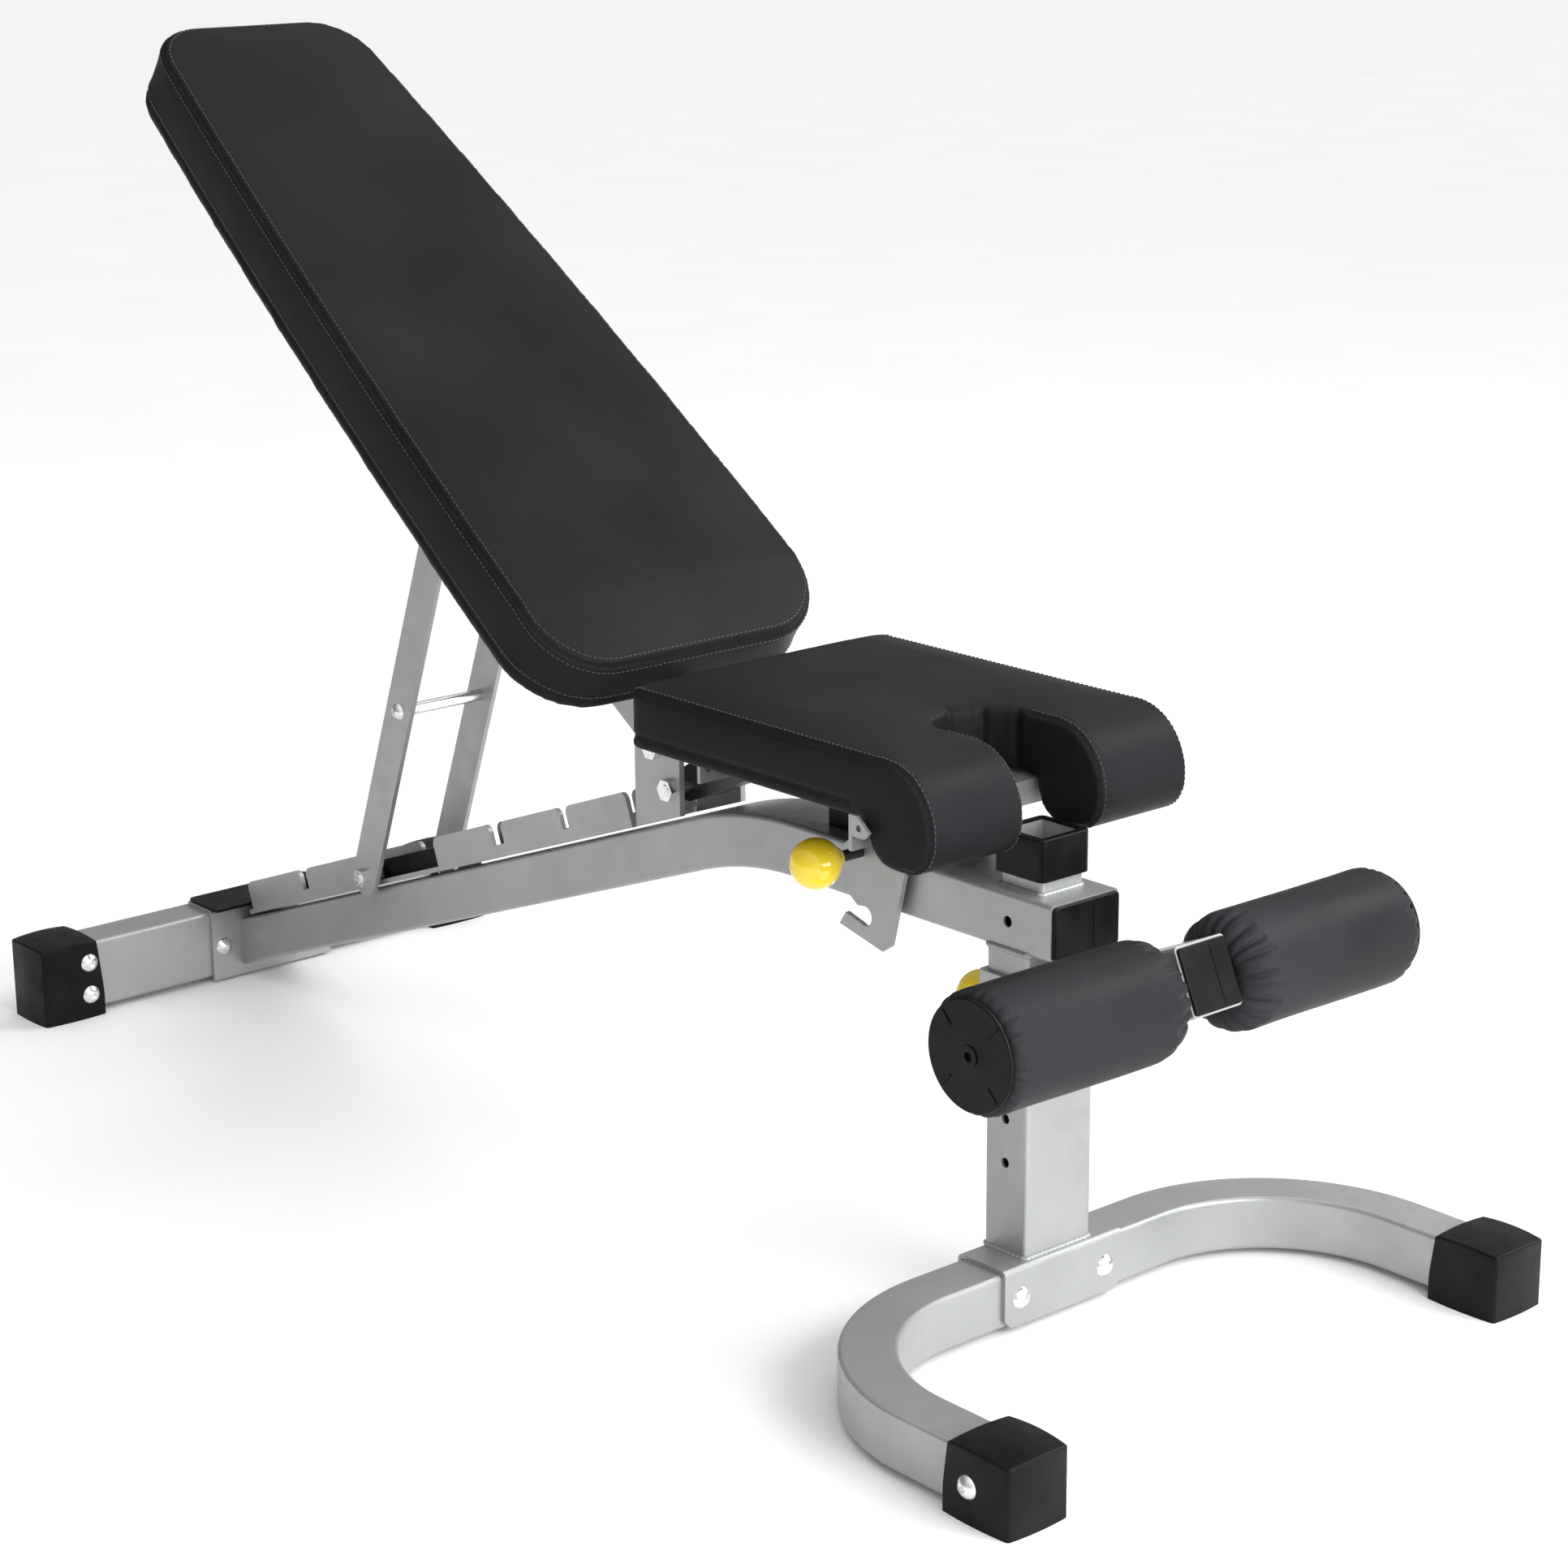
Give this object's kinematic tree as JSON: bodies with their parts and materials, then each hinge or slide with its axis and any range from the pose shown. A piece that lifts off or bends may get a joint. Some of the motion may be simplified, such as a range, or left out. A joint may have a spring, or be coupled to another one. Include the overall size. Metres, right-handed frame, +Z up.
{
  "type": "decline sit-up bench",
  "caption": "Decline sit-up bench: tubular frame with a U-shaped foot, hinged tapered back on a rack and strut, seat with a front notch, and foam leg rollers on a sliding carriage.",
  "frame": {"origin": "on the floor, in the middle of the footprint", "axes": "+X from the rear foot to the leg rollers, +Y across the bench, +Z up"},
  "size_m": [1.5744, 0.6622, 1.0439],
  "materials": {
    "silver_paint": "satin",
    "zinc": "bright",
    "rubber": "matt",
    "black_plastic": "satin",
    "black_paint": "satin",
    "vinyl": "satin",
    "roller_cover": "satin",
    "board": "matt",
    "yellow_plastic": "gloss"
  },
  "bodies": {
    "frame": {"back_hinge_bolt": "zinc", "base_frame": "silver_paint", "beam_end_cap": "black_plastic", "front_boot_far": "rubber", "front_boot_near": "rubber", "front_boot_screw_far": "zinc", "front_boot_screw_near": "zinc", "front_saddle": "silver_paint", "hinge_bracket_far": "silver_paint", "hinge_bracket_near": "silver_paint", "main_beam": "silver_paint", "post": "silver_paint", "rack_channel": "silver_paint", "rack_liner": "rubber", "rear_boot_far": "rubber", "rear_boot_near": "rubber", "rear_boot_screws_far": "zinc", "rear_boot_screws_near": "zinc", "rear_crosspiece": "silver_paint", "rear_saddle": "silver_paint", "rear_saddle_bolt_far": "zinc", "rear_saddle_bolt_near": "zinc", "saddle_bolt_far": "zinc", "saddle_bolt_near": "zinc", "seat_hinge_bolt": "zinc", "seat_stop": "rubber", "socket_collar": "black_plastic", "socket_stub": "silver_paint"},
    "back": {"back_pad": "vinyl", "back_board": "board", "back_rail": "silver_paint", "back_plate_low": "silver_paint", "back_plate_high": "silver_paint"},
    "ladder": {"ladder_bar_near": "silver_paint", "ladder_bar_far": "silver_paint", "ladder_rung": "zinc", "ladder_bolt": "zinc", "ladder_foot_near": "zinc", "ladder_foot_far": "zinc"},
    "seat": {"seat_pad": "vinyl", "seat_board": "board", "seat_rail": "black_paint", "seat_cross_rear": "silver_paint", "seat_cross_front": "silver_paint"},
    "latch": {"latch_plate_near": "silver_paint", "latch_plate_far": "silver_paint", "latch_bolt": "zinc", "latch_rod": "black_paint", "latch_knob": "yellow_plastic"},
    "carriage": {"carriage_sleeve": "silver_paint", "roller_arm": "silver_paint", "arm_plug": "black_plastic", "roller_axle": "zinc", "pin_housing": "silver_paint"},
    "pull_pin_body": {"pull_pin": "zinc", "pull_knob": "yellow_plastic"},
    "roller_near": {"foam_roller_near": "roller_cover", "roller_core_near": "black_plastic"},
    "roller_far": {"foam_roller_far": "roller_cover", "roller_core_far": "black_plastic"}
  },
  "joints": [
    {"name": "back_hinge", "type": "hinge", "parent": "frame", "child": "back", "pos_m": [0.02325, 0, 0.416], "axis": [0, 1, 0], "range_deg": [0, 34]},
    {"name": "ladder_hinge", "type": "hinge", "parent": "back", "child": "ladder", "pos_m": [-0.27817, 0, 0.63234], "axis": [0, 1, 0], "range_deg": [-40, 0]},
    {"name": "seat_hinge", "type": "hinge", "parent": "frame", "child": "seat", "pos_m": [0.04525, 0, 0.38], "axis": [0, -1, 0], "range_deg": [0, 5]},
    {"name": "latch_hinge", "type": "hinge", "parent": "seat", "child": "latch", "pos_m": [0.36925, 0, 0.416], "axis": [0, -1, 0], "range_deg": [0, 25]},
    {"name": "carriage_slide", "type": "slide", "parent": "frame", "child": "carriage", "axis": [0, 0, -1], "range_m": [0, 0.12]},
    {"name": "pull_pin_slide", "type": "slide", "parent": "carriage", "child": "pull_pin_body", "axis": [1, 0, 0], "range_m": [0, 0.01]},
    {"name": "roller_near_spin", "type": "hinge", "parent": "carriage", "child": "roller_near", "pos_m": [0.65567, -0.135, 0.33461], "axis": [0, 1, 0], "continuous": true},
    {"name": "roller_far_spin", "type": "hinge", "parent": "carriage", "child": "roller_far", "pos_m": [0.65567, 0.135, 0.33461], "axis": [0, 1, 0], "continuous": true}
  ],
  "couplings": [
    {"joint": "ladder_hinge", "follows": "back_hinge", "ratio": -1.15}
  ]
}
